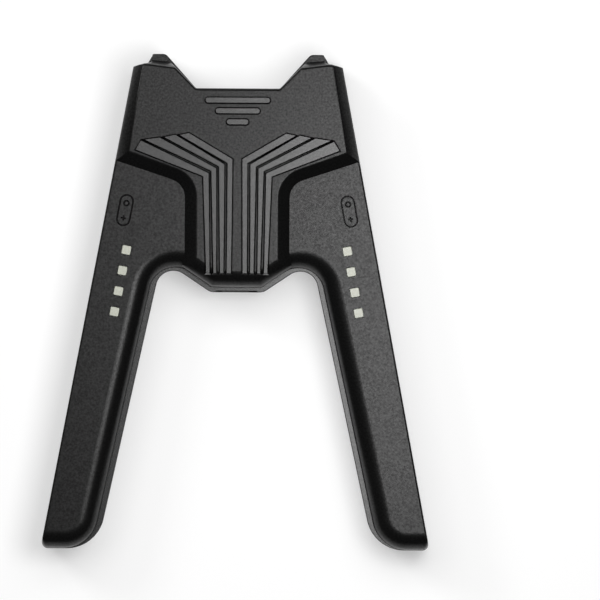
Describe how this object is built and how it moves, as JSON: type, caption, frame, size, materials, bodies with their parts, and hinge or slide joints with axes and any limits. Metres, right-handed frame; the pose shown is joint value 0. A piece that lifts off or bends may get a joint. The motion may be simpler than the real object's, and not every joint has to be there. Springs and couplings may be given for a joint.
{
  "type": "controller charging grip",
  "caption": "V-shaped black charging grip: a hollow two-shell body with a raised ribbed platform, slide rails on its splayed arms, charge lights and a charging socket.",
  "frame": {"origin": "centre of the bounding box at the flat back, on the surface the grip lies on", "axes": "+X to the right of the front face, +Y along the body from the arm tips towards the notched top end, +Z out of the front face"},
  "size_m": [0.1024, 0.1314, 0.0233],
  "materials": {
    "shell": "fine moulded texture",
    "rail": "smooth moulded",
    "contacts": "gold plated",
    "board": "solder mask",
    "guide": "milky",
    "lights": "plain",
    "metal": "plated",
    "chips": "moulded",
    "capacitors": "fired",
    "ribbons": "film"
  },
  "bodies": {
    "root": {"front_cover": "shell", "rear_cover": "shell", "left_rail": "rail", "right_rail": "rail", "left_plug": "rail", "right_plug": "rail", "left_plug_contacts": "contacts", "right_plug_contacts": "contacts", "left_contact_board": "board", "right_contact_board": "board", "left_light_board": "board", "right_light_board": "board", "main_board": "board", "left_light_guide": "guide", "right_light_guide": "guide", "left_lights": "lights", "right_lights": "lights", "socket_shell": "metal", "board_screws": "metal", "rail_screws": "metal", "case_screws": "metal", "socket_tongue": "chips", "charge_chip": "chips", "power_coil": "chips", "board_capacitors": "capacitors", "ribbon_sockets": "ribbons", "left_ribbon": "ribbons", "right_ribbon": "ribbons"}
  },
  "joints": []
}
